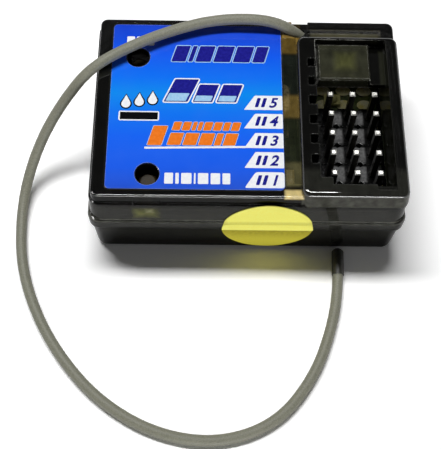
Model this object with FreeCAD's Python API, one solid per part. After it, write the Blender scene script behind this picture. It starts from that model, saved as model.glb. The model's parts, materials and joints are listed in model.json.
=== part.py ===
import FreeCAD, Part
import math
import os

# Radio-control receiver: a smoked two-part case with a connector tower, a label, a seal and a wire antenna.
# Millimetres. X to the right, Y to the back, Z up. The origin is the middle of the case's foot.

V = FreeCAD.Vector
UP = V(0, 0, 1)

# Case, outside. Its depth follows from the rows of plugs, further down
lid_width = 23.74
parting_height = 6.2
lid_height = 12.7
tower_rise = 0.9
draft = math.tan(math.radians(2.5))
corner_radius = 1.3
lid_corner_radius = 0.8
skirt_proud = 0.2
skirt_height = 1.5
skirt_bevel = 0.15
band_step = 0.25
band_height = 1.5
lid_edge_radius = 0.2
foot_edge_radius = 0.9

# Case, inside
floor_thickness = 1.2
lower_wall = 1.3
inner_corner = 1.0
upper_wall = 1.5
upper_inner_corner = 0.8
lid_thickness = 1.2
tongue_thickness = 0.5
tongue_height = 0.8
tongue_clearance = 0.1
snap_radius = 0.2
snap_length = 6.0
snap_clearance = 0.05

# Circuit board and the pegs that locate it
board_gap = 0.4
board_thickness = 1.0
board_below_parting = 1.8
board_corner = 1.0
board_bottom = parting_height - board_below_parting
board_top = board_bottom + board_thickness
post_radius = 1.1
peg_radius = 0.45
peg_rise = 0.8
peg_clearance = 0.1
boss_clearance = 0.1
peg_from_corner = 3.0
tower_peg_in = 0.66
tower_peg_front = 3.3
tower_peg_back = 7.9

# Pin headers: one row of three pins for each channel, and one for the battery
pitch = 2.54
row_count = 5
spare_rows = 2
pins_per_row = 3
pin_from_right = 3.55
row_from_front = 3.8
pin_side = 0.64
pin_drop = 0.5
pin_tail = 1.0
pin_point = 0.25
header_height = 2.54
header_gap = 0.04
header_notch = 0.35
pin_hole_radius = 0.5
pin_hole_sides = 8

# Connector tower round the pins
plug_clearance = 0.27
well_front_gap = 0.48
tower_wall_left = 2.05
tower_wall_back = 0.6
tower_to_back = 3.35
tower_inset = 0.38
tower_draft = 0.24
tower_corner = 0.9
tower_edge_radius = 0.5
tower_foot_radius = 0.9
keyway_width = 1.1
keyway_depth = 0.95
keyway_offset = 1.35
well_clear = 0.2
cover_floor = 0.6
cover_groove = 1.3
spare_block_drop = 0.3
spare_block_left = 0.25
spare_block_right = 1.9
spare_block_front = 0.3
spare_block_back = 0.35
block_edge = 0.2
ledge_depth = 0.45
ledge_width = 2.1
ledge_reach = 0.6
corner_fill = (1.3, 0.85)

# Label in the lid, and the window strip behind the tower
label_from_left = 2.3
label_to_tower = 1.84
label_from_front = 1.7
label_from_back = 1.5
label_thickness = 0.15
label_corner = 0.5
recess_depth = 0.2
recess_clearance = 0.12
strip_width = 8.6
strip_depth = 1.0
strip_cut = 0.35
strip_corner = 0.2
strip_from_tower = 1.3
strip_off_middle = 0.6

# Push buttons under the lid: bind at the back, failsafe at the front
bind_from_corner = (5.3, 6.1)
failsafe_from_corner = (6.85, 3.55)
button_hole_radius = 1.3
label_hole_radius = 1.4
switch_width = 4.2
switch_depth = 3.2
switch_height = 2.0
switch_corner = 0.3
switch_bevel = 0.15
stem_radius = 1.1
stem_clearance = 0.05
stem_below_lid = 0.6
stem_socket = 1.4
stem_float = 0.35
stem_head = 0.3
solder_leg = 0.35
solder_leg_height = 0.2

# Round seal on the front wall, across the parting line
seal_radius = 5.2
seal_to_tower = 3.39
seal_thickness = 0.1
seal_lift = 0.02

# Parts on the board: width, depth and height, and how far each stands left of the tower
rf_size = (4.0, 4.0, 0.85)
rf_place = (8.1, 5.9)
mcu_side = 6.0
mcu_height = 1.3
mcu_place = (10.3, -2.2)
lead_count = 8
lead_reach = 0.8
lead_width = 0.35
lead_thickness = 0.25
crystal_size = (2.2, 4.0)
crystal_below_lid = 0.8
crystal_corner = 0.9
crystal_flange = 0.15
crystal_place = (1.79, 10.2)
regulator_size = (3.5, 4.2, 1.6)
regulator_place = (3.1, -3.0)
regulator_leg = 0.7
regulator_leg_step = 1.4
regulator_foot = 0.9
capacitor_size = (2.2, 3.4)
capacitor_below_lid = 0.7
capacitor_place = (1.65, 3.7)
passive_size = (1.6, 0.8, 0.7)
passive_step = 2.2
passive_column = 2.7
passive_from_tower = 4.3
passive_rows = (3.4, 1.9)
passive_edge = 4.1
passive_back_edge = 3.9
passive_column_back = 2.64
lamp_size = (2.0, 1.4, 0.6)
lamp_radius = 0.65
chip_bevel = 0.1

# Antenna: a stiff thin cable, out of the lid, once round the case and back to its front foot
wire_radius = 0.625
cord_sides = 8
wire_hole_clearance = 0.2
notch_width = 1.9
notch_depth = 0.55
notch_corner = 0.4
notch_shift = 0.2
antenna_inside = [(14.0, 10.1, 6.1), (11.4, 10.1, 6.15), (9.19, 9.89, 8.44), (7.3, 10.1, 10.75)]
antenna_route = [
    (7.3, 10.1, 10.75), (5.5, 10.3, 12.95), (2.1, 10.95, 14.15), (-3.6, 11.0, 13.95),
    (-9.0, 9.4, 13.75), (-13.7, 6.95, 13.9), (-18.0, 4.15, 13.65), (-21.3, 1.75, 10.4),
    (-24.2, -0.6, 6.1), (-26.3, -3.9, 2.05), (-26.9, -8.8, 0.68), (-26.3, -14.9, 0.66),
    (-24.2, -20.7, 0.66), (-21.0, -26.0, 0.66), (-16.3, -31.1, 0.66), (-10.0, -34.7, 0.66),
    (-3.0, -35.7, 0.66), (3.5, -33.4, 0.66), (7.8, -28.0, 0.66), (10.0, -22.2, 0.66),
    (10.9, -17.6, 0.72), (11.0, -14.9, 0.74)]
tip_radius = 0.72
tip_length = 2.4
tip_overlap = 0.9


def rounded_outline(width, depth, radius, z, centre=(0.0, 0.0)):
    """Closed wire of a rectangle with round corners, seen from above."""
    x, y = width / 2 - radius, depth / 2 - radius
    cx, cy = centre
    edges = []
    corners = [(x, y, 0), (-x, y, 90), (-x, -y, 180), (x, -y, 270)]
    for corner, (px, py, start) in enumerate(corners):
        middle = V(cx + px, cy + py, z)
        arc = [middle + V(math.cos(a), math.sin(a), 0) * radius
               for a in (math.radians(start + turn) for turn in (0, 45, 90))]
        edges.append(Part.Arc(*arc).toShape())
        nx, ny, next_start = corners[(corner + 1) % 4]
        angle = math.radians(next_start)
        following = V(cx + nx, cy + ny, z) + V(math.cos(angle), math.sin(angle), 0) * radius
        edges.append(Part.LineSegment(arc[2], following).toShape())
    return Part.Wire(edges)


def drafted_block(low, high, radius):
    """Block between two rectangles given as (x0, x1, y0, y1, z), with round upright corners."""
    rings = [[V(x0, y0, z), V(x1, y0, z), V(x1, y1, z), V(x0, y1, z)] for x0, x1, y0, y1, z in (low, high)]
    bottom, top = rings
    outlines = [bottom[::-1], top]
    for corner in range(4):
        following = (corner + 1) % 4
        outlines.append([bottom[corner], bottom[following], top[following], top[corner]])
    faces = [Part.Face(Part.makePolygon(outline + outline[:1])) for outline in outlines]
    block = Part.Solid(Part.Shell(faces))
    uprights = [e for e in block.Edges if abs(e.Vertexes[0].Point.z - e.Vertexes[1].Point.z) > radius]
    return block.makeFillet(radius, uprights)


def plan_block(x0, x1, y0, y1, z0, z1, radius=0.0):
    """Upright block between plan limits, with round upright corners."""
    if radius <= 0:
        return Part.makeBox(x1 - x0, y1 - y0, z1 - z0, V(x0, y0, z0))
    outline = rounded_outline(x1 - x0, y1 - y0, radius, z0, ((x0 + x1) / 2, (y0 + y1) / 2))
    return Part.Face(outline).extrude(V(0, 0, z1 - z0))


def pillar(radius, x, y, z0, z1):
    return Part.makeCylinder(radius, z1 - z0, V(x, y, z0))


def prism(radius, sides, x, y, z0, z1):
    """Upright regular prism round a circle of the given radius."""
    reach = radius / math.cos(math.pi / sides)
    turns = [2 * math.pi * (n + 0.5) / sides for n in range(sides + 1)]
    outline = Part.makePolygon([V(x + reach * math.cos(a), y + reach * math.sin(a), z0) for a in turns])
    return Part.Face(outline).extrude(V(0, 0, z1 - z0))


def top_edges(shape, z):
    return [e for e in shape.Edges if all(abs(v.Point.z - z) < 1e-6 for v in e.Vertexes)]


def outline_at(inset, z):
    """Limits of the case at one height, drawn in by an inset."""
    x = case_width / 2 - inset
    y = case_depth / 2 - inset
    return (-x, x, -y, y, z)


def wall_inset(z):
    """How far the case's outside wall stands in from the skirt at a height."""
    rise = abs(z - parting_height) * draft
    return skirt_proud + rise


# Heights and plan limits that several pieces share
tower_width = (pin_from_right + pitch * (pins_per_row - 0.5) + plug_clearance + header_gap + tower_wall_left)
case_width = lid_width + tower_width
row_run = pitch * (row_count + spare_rows - 0.5)
case_depth = row_from_front + row_run + well_clear + 2 * plug_clearance + tower_wall_back + tower_to_back
case_left = -case_width / 2
case_front = -case_depth / 2
case_back = case_depth / 2
rim_height = lid_height + tower_rise
band_bottom = lid_height - band_height
skirt_top = parting_height + skirt_height
lid_under = lid_height - lid_thickness
inner_width = case_width - 2 * (skirt_proud + lower_wall)
inner_depth = case_depth - 2 * (skirt_proud + lower_wall)
upper_inner_width = case_width - 2 * (skirt_proud + upper_wall)
upper_inner_depth = case_depth - 2 * (skirt_proud + upper_wall)
header_top = board_top + header_height
pin_tip = rim_height - pin_drop
last_pin_x = case_width / 2 - pin_from_right
first_row_y = case_front + row_from_front
pin_columns = [last_pin_x - pitch * n for n in reversed(range(pins_per_row))]
row_places = [first_row_y + pitch * n for n in range(row_count)]
spare_places = [first_row_y + pitch * n for n in range(row_count, row_count + spare_rows)]
header_width = pitch * pins_per_row - header_gap
row_depth = pitch - header_gap
well_left = pin_columns[0] - pitch / 2 - plug_clearance - header_gap
well_right = pin_columns[-1] + pitch / 2 + plug_clearance
well_front = row_places[0] - pitch / 2 - well_front_gap
well_middle = row_places[-1] + pitch / 2 + well_clear
well_back = well_middle + pitch * spare_rows + 2 * plug_clearance
tower_left = well_left - tower_wall_left
tower_back = well_back + tower_wall_back
tower_foot = header_top + well_clear
cover_top = rim_height - cover_groove
stem_top = lid_under - stem_below_lid
capacitor_height = lid_under - capacitor_below_lid - board_top
cord_corner = math.sqrt(math.pi * 2 / cord_sides / math.sin(2 * math.pi / cord_sides))
seal_x = tower_left - seal_to_tower
button_places = {
    "bind": (case_left + bind_from_corner[0], case_back - bind_from_corner[1]),
    "failsafe": (case_left + failsafe_from_corner[0], case_front + failsafe_from_corner[1])}
peg_places = [
    (case_left + peg_from_corner, case_back - peg_from_corner),
    (case_left + peg_from_corner, case_front + peg_from_corner),
    (tower_left + tower_peg_in, case_front + tower_peg_front),
    (tower_left + tower_peg_in, case_back - tower_peg_back)]


def inner_step(extra, z0, z1):
    """Block as wide as the inside of the lower case plus an extra on each side."""
    x = inner_width / 2 + extra
    y = inner_depth / 2 + extra
    return plan_block(-x, x, -y, y, z0, z1, inner_corner + extra)


def snap_ridges(radius):
    """Two round ridges, front and back, that click the halves together."""
    height = parting_height + tongue_height / 2
    reach = inner_depth / 2 + tongue_thickness
    ridges = [Part.makeCylinder(radius, snap_length, V(-snap_length / 2, side * reach, height), V(1, 0, 0))
              for side in (-1, 1)]
    return Part.makeCompound(ridges)


def make_lower_case():
    outer = drafted_block(outline_at(wall_inset(0), 0), outline_at(skirt_proud, parting_height), corner_radius)
    outer = outer.makeFillet(foot_edge_radius, top_edges(outer, 0))
    hollow = inner_step(0, floor_thickness, parting_height + tongue_height + 1)
    tongue = inner_step(tongue_thickness, parting_height - 0.5, parting_height + tongue_height)
    case = outer.fuse([tongue, *snap_ridges(snap_radius).Solids]).cut(hollow)
    for x, y in peg_places:
        post = pillar(post_radius, x, y, floor_thickness - 0.2, board_bottom)
        peg = pillar(peg_radius, x, y, board_bottom - 0.2, board_top + peg_rise)
        case = case.fuse([post, peg])
    return case.removeSplitter()


def make_outer_shell():
    """Outside of the upper case without its tower: skirt, wall, and the set-back band under the lid."""
    x0, x1, y0, y1, z = outline_at(0, parting_height)
    skirt = plan_block(x0, x1, y0, y1, z, skirt_top, corner_radius)
    skirt = skirt.makeChamfer(skirt_bevel, top_edges(skirt, skirt_top))
    wall = drafted_block(outline_at(skirt_proud, parting_height),
                         outline_at(wall_inset(band_bottom), band_bottom), corner_radius)
    band = drafted_block(outline_at(wall_inset(skirt_top) + band_step, skirt_top),
                         outline_at(wall_inset(lid_height) + band_step, lid_height), lid_corner_radius)
    band = band.makeFillet(lid_edge_radius, top_edges(band, lid_height))
    return skirt.fuse([wall, band])


def make_tower_block():
    """Raised block that carries the connector well, down to the band's lower edge."""
    limits = []
    for inset, z in ((tower_inset, band_bottom), (tower_inset + tower_draft, rim_height)):
        limits.append((tower_left, case_width / 2 - inset, case_front + inset, tower_back, z))
    block = drafted_block(*limits, tower_corner)
    block = block.makeFillet(tower_edge_radius, top_edges(block, rim_height))
    plate = plan_block(tower_left, case_width / 2 - tower_inset, case_front, tower_back, band_bottom, rim_height)
    lengthwise = [e for e in top_edges(plate, band_bottom) if e.BoundBox.YLength > e.BoundBox.XLength]
    return block.common(plate.makeFillet(tower_foot_radius, lengthwise))


def make_well():
    """Everything cut from the tower: the well, but for the raised cover over its spare rows, and the keyways."""
    top = rim_height + 1
    through = tower_foot - 1
    well = plan_block(well_left, well_right, well_front, well_back, through, top)
    fill_width, fill_depth = corner_fill
    fill = plan_block(well_left, well_left + fill_width, well_front, well_front + fill_depth, through, top)
    cover_front = well_middle + spare_block_front
    floor = plan_block(well_left, well_right, cover_front, well_back, cover_top - cover_floor, cover_top)
    block = plan_block(well_left + spare_block_left, well_right - spare_block_right, cover_front,
                       well_back - spare_block_back, cover_top - cover_floor, rim_height - spare_block_drop)
    block = block.makeChamfer(block_edge, top_edges(block, rim_height - spare_block_drop))
    well = well.cut([fill, floor, block])
    for row in range(row_count + 1):
        middle = row_places[0] + pitch * row + keyway_offset
        foot = through if row < row_count - 1 else cover_top
        well = well.fuse(plan_block(well_left - keyway_depth, well_left + 0.1, middle - keyway_width / 2,
                                    middle + keyway_width / 2, foot, top))
    ledge = plan_block(well_right - ledge_width, well_right, well_front - ledge_reach, well_front + 0.1,
                       rim_height - ledge_depth, top)
    return well.fuse(ledge)


def antenna_hole():
    """Slanting hole and notch through the lid's back edge for the antenna."""
    radius = wire_radius + wire_hole_clearance
    inside, rise, over = [V(*p) for p in antenna_route[:3]]
    first = rise - inside
    second = over - rise
    start = V(*antenna_inside[-2])
    hole = Part.makeCylinder(radius, (rise - start).Length, start, first)
    hole = hole.fuse([Part.makeSphere(radius, rise), Part.makeCylinder(radius, second.Length, rise, second)])
    middle = (inside.x + rise.x) / 2 - notch_shift
    notch = plan_block(middle - notch_width / 2, middle + notch_width / 2, rise.y, case_depth / 2,
                       lid_height - notch_depth, lid_height + 1, notch_corner)
    return hole.fuse(notch)


def label_outline(extra, z0, z1):
    return plan_block(case_left + label_from_left - extra, tower_left - label_to_tower + extra,
                      case_front + label_from_front - extra, case_back - label_from_back + extra,
                      z0, z1, label_corner + extra)


def make_upper_case():
    shell = make_outer_shell().fuse(make_tower_block())
    hollow = plan_block(-upper_inner_width / 2, upper_inner_width / 2, -upper_inner_depth / 2,
                        upper_inner_depth / 2, parting_height - 1, lid_under, upper_inner_corner)
    chimney = plan_block(tower_left, case_width / 2, -case_depth / 2, tower_back, tower_foot, rim_height)
    bosses = [pillar(post_radius, x, y, board_top + boss_clearance, lid_under + 0.1) for x, y in peg_places]
    hollow = hollow.cut(chimney).cut(Part.makeCompound(bosses))
    rebate_side = tongue_thickness + tongue_clearance
    rebate = inner_step(rebate_side, parting_height - 1, parting_height + tongue_height + tongue_clearance)
    for x, y in peg_places[:2]:
        rebate = rebate.cut(pillar(post_radius, x, y, board_top + boss_clearance, lid_under))
    case = shell.cut(rebate).cut(hollow)
    case = case.cut([*snap_ridges(snap_radius + snap_clearance).Solids, make_well(), antenna_hole()])
    case = case.fuse(bosses)
    for x, y in peg_places:
        case = case.cut(pillar(peg_radius + peg_clearance, x, y, board_top, board_top + peg_rise + boss_clearance))
    case = case.cut(label_outline(recess_clearance, lid_height - recess_depth, lid_height + 1))
    for x, y in button_places.values():
        case = case.cut(pillar(button_hole_radius, x, y, lid_under - 1, lid_height + 1))
    strip_front = tower_back + strip_from_tower - strip_depth
    strip_middle = (well_left + well_right) / 2 - strip_off_middle
    case = case.cut(plan_block(strip_middle - strip_width / 2, strip_middle + strip_width / 2, strip_front,
                               strip_front + strip_depth, lid_height - strip_cut, lid_height + 1,
                               strip_corner))
    return case


def make_label():
    label = label_outline(0, lid_height - recess_depth, lid_height - recess_depth + label_thickness)
    for x, y in button_places.values():
        label = label.cut(pillar(label_hole_radius, x, y, lid_height - 1, lid_height + 1))
    return label


def make_seal():
    """Thin round seal that follows the front wall over the skirt and the parting line."""
    def skin(lift):
        low, high = parting_height - seal_radius, parting_height + seal_radius
        profile = [(wall_inset(low), low), (wall_inset(parting_height), parting_height - skirt_proud),
                   (0.0, parting_height), (0.0, skirt_top - skirt_bevel), (skirt_bevel, skirt_top),
                   (wall_inset(skirt_top), skirt_top + skirt_bevel), (wall_inset(high), high)]
        return [V(seal_x - seal_radius, -case_depth / 2 + inset - lift, z) for inset, z in profile]
    near = skin(seal_lift)
    far = skin(seal_lift + seal_thickness)
    outline = near + far[::-1] + near[:1]
    sheet = Part.Face(Part.makePolygon(outline)).extrude(V(2 * seal_radius, 0, 0))
    reach = seal_radius / 2
    middle = V(seal_x, case_front - reach, parting_height)
    return sheet.common(Part.makeCylinder(seal_radius - 0.01, 2 * reach, middle, V(0, 1, 0)))


def make_board():
    width = inner_width - 2 * board_gap
    depth = inner_depth - 2 * board_gap
    board = plan_block(-width / 2, width / 2, -depth / 2, depth / 2, board_bottom, board_top, board_corner)
    holes = [prism(pin_hole_radius, pin_hole_sides, x, y, board_bottom - 1, board_top + 1)
             for x in pin_columns for y in row_places + spare_places]
    holes += [pillar(peg_radius + peg_clearance, x, y, board_bottom - 1, board_top + 1) for x, y in peg_places]
    return board.cut(holes)


def make_pin(x, y):
    """Square pin with a blunt point at each end."""
    half = pin_side / 2
    tail = board_bottom - pin_tail
    pin = plan_block(x - half, x + half, y - half, y + half, tail, pin_tip)
    ends = top_edges(pin, tail) + top_edges(pin, pin_tip)
    return pin.makeChamfer(pin_point / 2, ends)


def make_header_base(y):
    """Plastic strip of three cells with a nick between one pin and the next."""
    x0 = pin_columns[0] - (pitch - header_gap) / 2
    half = row_depth / 2
    base = plan_block(x0, x0 + header_width, y - half, y + half, board_top, header_top)
    for n in range(pins_per_row + 1):
        nick_x = pin_columns[0] + pitch * (n - 0.5)
        for side in (-1, 1):
            nick = Part.makeBox(header_notch * 2, header_notch * 2, header_height,
                                V(-header_notch, -header_notch, 0))
            nick.rotate(V(0, 0, 0), UP, 45)
            nick.translate(V(nick_x, y + side * (half + header_notch * 0.4), board_top))
            base = base.cut(nick)
    for x in pin_columns:
        base = base.cut(plan_block(x - pin_side / 2, x + pin_side / 2, y - pin_side / 2, y + pin_side / 2,
                                   board_top, header_top))
    return base


def make_switch(x, y):
    """Body of a push switch with its round socket and four legs."""
    body = plan_block(x - switch_width / 2, x + switch_width / 2, y - switch_depth / 2, y + switch_depth / 2,
                      board_top, board_top + switch_height, switch_corner)
    top = board_top + switch_height
    body = body.makeChamfer(switch_bevel, top_edges(body, top))
    for sx in (-1, 1):
        for sy in (-1, 1):
            leg_x = x + sx * (switch_width / 2 + solder_leg / 2)
            leg_y = y + sy * switch_depth / 4
            body = body.fuse(plan_block(leg_x - solder_leg, leg_x + solder_leg, leg_y - solder_leg,
                                        leg_y + solder_leg, board_top, board_top + solder_leg_height))
    return body.cut(pillar(stem_radius + stem_clearance, x, y, top - stem_socket, top + 1))


def make_stem(x, y):
    foot = board_top + switch_height - stem_socket + stem_float
    stem = pillar(stem_radius, x, y, foot, stem_top)
    return stem.makeChamfer(stem_head, top_edges(stem, stem_top))


def chip(x, y, size, bevel=chip_bevel):
    """Moulded chip body on the board, with its top edge bevelled."""
    width, depth, height = size
    body = plan_block(x - width / 2, x + width / 2, y - depth / 2, y + depth / 2, board_top, board_top + height)
    return body.makeChamfer(bevel, top_edges(body, board_top + height))


def make_mcu(x, y):
    """Square chip with a row of leads along each side."""
    body = chip(x, y, (mcu_side, mcu_side, mcu_height), 1.5 * chip_bevel)
    step = mcu_side / (lead_count + 1)
    legs = []
    for n in range(lead_count):
        along = -mcu_side / 2 + step * (n + 1)
        leg = plan_block(mcu_side / 2 - chip_bevel, mcu_side / 2 + lead_reach, along - lead_width / 2,
                         along + lead_width / 2, board_top, board_top + lead_thickness)
        for quarter in range(4):
            placed = leg.copy()
            placed.rotate(V(0, 0, 0), UP, 90 * quarter)
            placed.translate(V(x, y, 0))
            legs.append(placed)
    return body.fuse(legs)


def make_regulator(x, y):
    """Small power regulator: moulded body, wide tab and three legs."""
    body = chip(x, y, regulator_size, 2 * chip_bevel)
    side = regulator_size[0] / 2
    tab_half = regulator_leg_step
    foot_top = board_top + lead_thickness
    tab = plan_block(x - side - regulator_foot, x - side + chip_bevel, y - tab_half, y + tab_half,
                     board_top, foot_top)
    legs = []
    for n in (-1, 0, 1):
        middle = y + n * regulator_leg_step
        legs.append(plan_block(x + side - chip_bevel, x + side + regulator_foot, middle - regulator_leg / 2,
                               middle + regulator_leg / 2, board_top, foot_top))
    return body.fuse([tab, *legs])


def make_crystal(x, y):
    """Tall metal crystal can on a slightly wider foot."""
    width, depth = crystal_size
    half_x, half_y = width / 2, depth / 2
    edge = crystal_flange
    top = lid_under - crystal_below_lid
    foot = plan_block(x - half_x - edge, x + half_x + edge, y - half_y - edge, y + half_y + edge,
                      board_top, board_top + edge)
    can = plan_block(x - half_x, x + half_x, y - half_y, y + half_y, board_top + edge / 2, top, crystal_corner)
    return foot.fuse(can.makeChamfer(1.5 * chip_bevel, top_edges(can, top)))


def make_lamp(x, y):
    """Status lamp: a square foot with a domed lens."""
    width, depth, height = lamp_size
    level = board_top + height
    foot = plan_block(x - width / 2, x + width / 2, y - depth / 2, y + depth / 2, board_top, level)
    dome = Part.makeSphere(lamp_radius, V(x, y, level))
    return foot.fuse(dome.common(plan_block(x - width, x + width, y - depth, y + depth,
                                            board_top + height / 2, level + 2 * lamp_radius)))


def passive_places():
    """Places of the small parts: a column at the left, pairs round the chips, and two behind the well."""
    left = case_left + passive_column
    places = [(left, passive_column_back - passive_step * n, 90) for n in range(4)]
    places += [(tower_left - passive_from_tower, y, 0) for y in passive_rows]
    places += [(tower_left - passive_from_tower - passive_step * n, case_front + passive_edge, 0)
               for n in (0.3, 1.4)]
    places += [(tower_left + passive_step * n, case_back - passive_back_edge, 0) for n in (2.0, 3.1)]
    return places


def make_chip_parts():
    """Small resistors and capacitors as one group of separate bodies."""
    bodies = []
    for x, y, turn in passive_places():
        body = chip(0, 0, passive_size, 0.8 * chip_bevel)
        body.rotate(V(0, 0, 0), UP, turn)
        body.translate(V(x, y, 0))
        bodies.append(body)
    return Part.makeCompound(bodies)


def cord_path(points, bend_share=0.45):
    """Straight runs joined by tangent arcs, each as wide as its two runs allow."""
    points = [V(*p) for p in points]
    edges, radii = [], []
    start = points[0]
    length = 0.0
    for before, corner, after in zip(points, points[1:], points[2:]):
        inward = (corner - before).normalize()
        outward = (after - corner).normalize()
        half_turn = inward.getAngle(outward) / 2
        reach = bend_share * min((corner - before).Length, (after - corner).Length)
        radius = reach / math.tan(half_turn)
        radii.append(radius)
        arc_start = corner - inward * reach
        arc_end = corner + outward * reach
        inner = (outward - inward).normalize()
        middle = corner + inner * (radius / math.cos(half_turn) - radius)
        edges.append(Part.LineSegment(start, arc_start).toShape())
        edges.append(Part.Arc(arc_start, middle, arc_end).toShape())
        length += (arc_start - start).Length + 2 * half_turn * radius
        start = arc_end
    edges.append(Part.LineSegment(start, points[-1]).toShape())
    length += (points[-1] - start).Length
    return Part.Wire(edges), radii, length


def make_cord(name, points, radius):
    """Plain many-sided tube of the round cable's section."""
    path, radii, length = cord_path(points)
    first = (V(*points[1]) - V(*points[0])).normalize()
    side = first.cross(UP).normalize()
    across = first.cross(side)
    reach = radius * cord_corner
    turns = [2 * math.pi * n / cord_sides for n in range(cord_sides + 1)]
    corners = [V(*points[0]) + side * (reach * math.cos(a)) + across * (reach * math.sin(a)) for a in turns]
    profile = Part.makePolygon(corners)
    tube = path.makePipeShell([profile], True, True)
    solid = tube if tube.ShapeType == "Solid" else Part.Solid(tube)
    share = solid.Volume / (math.pi * radius ** 2 * length)
    print(name, "length", round(length, 2), "volume share", round(share, 4),
          "radii", [round(r, 1) for r in radii])
    return solid


def make_antenna_tip():
    """Shrink cap on the antenna's free end, with a round nose."""
    end = V(*antenna_route[-1])
    along = (end - V(*antenna_route[-2])).normalize()
    cap = Part.makeCylinder(tip_radius, tip_length + tip_overlap, end - along * tip_overlap, along)
    far = [e for e in cap.Edges if e.Closed and (e.CenterOfMass - (end + along * tip_length)).Length < 0.01]
    cap = cap.makeChamfer(tip_radius * 0.4, far)
    bore = wire_radius * cord_corner
    return cap.cut(Part.makeCylinder(bore, tip_overlap, end - along * tip_overlap, along))


def main():
    pieces = {
        "lower_case": make_lower_case(),
        "upper_case": make_upper_case(),
        "top_label": make_label(),
        "seal_sticker": make_seal(),
        "main_board": make_board(),
        "rf_chip": chip(tower_left - rf_place[0], case_back - rf_place[1], rf_size),
        "mcu_chip": make_mcu(tower_left - mcu_place[0], mcu_place[1]),
        "crystal_can": make_crystal(tower_left - crystal_place[0], case_back - crystal_place[1]),
        "voltage_regulator": make_regulator(tower_left - regulator_place[0], regulator_place[1]),
        "input_capacitor": chip(tower_left - capacitor_place[0], case_front + capacitor_place[1],
                                (*capacitor_size, capacitor_height), 2.5 * chip_bevel),
        "status_led": make_lamp(pin_columns[0] + pitch / 2, spare_places[0] + pitch / 2),
        "chip_parts": make_chip_parts(),
        "antenna_root": make_cord("antenna_root", antenna_inside, wire_radius),
        "antenna_wire": make_cord("antenna_wire", antenna_route, wire_radius),
        "antenna_tip": make_antenna_tip(),
    }
    for number, y in enumerate(row_places, 1):
        pieces[f"header_base_{number}"] = make_header_base(y)
        pieces[f"header_pins_{number}"] = Part.makeCompound([make_pin(x, y) for x in pin_columns])
    for name, (x, y) in button_places.items():
        pieces[name + "_switch"] = make_switch(x, y)
        pieces[name + "_button"] = make_stem(x, y)
    os.makedirs("parts", exist_ok=True)
    for name, shape in pieces.items():
        print(name, "valid", shape.isValid(), "solids", len(shape.Solids), "volume", round(shape.Volume, 3))
        shape.exportStep(f"parts/{name}.step")


main()
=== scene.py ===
import json
import math

import bmesh
import bpy
from mathutils import Matrix, Vector


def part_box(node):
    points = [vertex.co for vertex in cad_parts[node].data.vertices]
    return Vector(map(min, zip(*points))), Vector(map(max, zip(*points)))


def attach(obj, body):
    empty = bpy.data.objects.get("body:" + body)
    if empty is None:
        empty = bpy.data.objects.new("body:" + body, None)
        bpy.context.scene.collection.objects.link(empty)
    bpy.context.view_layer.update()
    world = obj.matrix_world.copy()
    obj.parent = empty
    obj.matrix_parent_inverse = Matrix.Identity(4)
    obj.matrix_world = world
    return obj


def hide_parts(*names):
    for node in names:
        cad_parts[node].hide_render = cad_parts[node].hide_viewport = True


# Radio-control receiver: materials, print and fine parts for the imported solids.
# Metres in the frame of the solids. The sizes below are in millimetres and go through MM.
# A tint is three screen levels, and a pair of tints is the darkest and the lightest of a grain.

MM = 0.001
HOUSING = "housing"
BLACK = (0.0, 0.0, 0.0, 1.0)
WHITE = (1.0, 1.0, 1.0, 1.0)
EVEN = (1.0, 1.0, 1.0)

# Camera
FOCAL_LENGTH = 938.829
FRAME_LONG_SIDE = 449
SENSOR = 36.0
CAMERA_TURN = -2.241
CAMERA_RISE = 64.685
CAMERA_ROLL = 2.673
CAMERA_DISTANCE = 117.895
CAMERA_PAN = (-2.892, -8.111)
CAMERA_NEAR = 5.0

# Antenna: over the lid's back left part, down at the left and over the floor to the front foot
WIRE_DIAMETER = 1.25
WIRE_STEPS = 16
WIRE_ROUNDNESS = 6
WIRE_ROUTE = [
    (7.3, 10.1, 10.75), (5.5, 10.3, 12.95), (2.1, 10.95, 14.15), (-3.6, 11.0, 13.95),
    (-9.0, 9.4, 13.75), (-13.7, 6.95, 13.9), (-18.0, 4.15, 13.65), (-21.3, 1.75, 10.4),
    (-24.2, -0.6, 6.1), (-26.3, -3.9, 2.05), (-26.9, -8.8, 0.68), (-26.3, -14.9, 0.66),
    (-24.2, -20.7, 0.66), (-21.0, -26.0, 0.66), (-16.3, -31.1, 0.66), (-10.0, -34.7, 0.66),
    (-3.0, -35.7, 0.66), (3.5, -33.4, 0.66), (7.8, -28.0, 0.66), (10.0, -22.2, 0.66),
    (10.9, -17.6, 0.72), (11.0, -14.9, 0.74)]

# Studio. The floor's reach is in metres. A light is its direction, distance, size and power in watts
FLOOR_REACH = 1.5
FLOOR_DROP = 0.02
FLOOR_PAPER = (0.7, 0.7, 0.7, 1.0)
FLOOR_GLOSS = (0.9, 0.9, 0.9, 1.0)
FLOOR_SEEN = (1.25, 1.25, 1.25, 1.0)
FLOOR_FADE = (50.0, 110.0)
ROOM_LIGHT = (0.045, 0.045, 0.045, 1.0)
CEILING = (0.05, 0.05, 0.05, 1.0)
CEILING_FADE = (0.2, 0.45)
KEY_LIGHT = ((-0.14, 0.24, 0.95), 350, (220, 44), 1.16)
FILL_LIGHT = ((0.1, -0.98, 0.055), 320, (200, 32), 0.54)

# Grain and edges that the finishes share
GRAIN_DETAIL = 4.0
GRAIN_SPREAD = (0.3, 0.7)
EDGE_SAMPLES = 6
EDGE_TURN = (0.98, 0.75)
PLAIN_EDGE_RADIUS = 0.06
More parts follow.
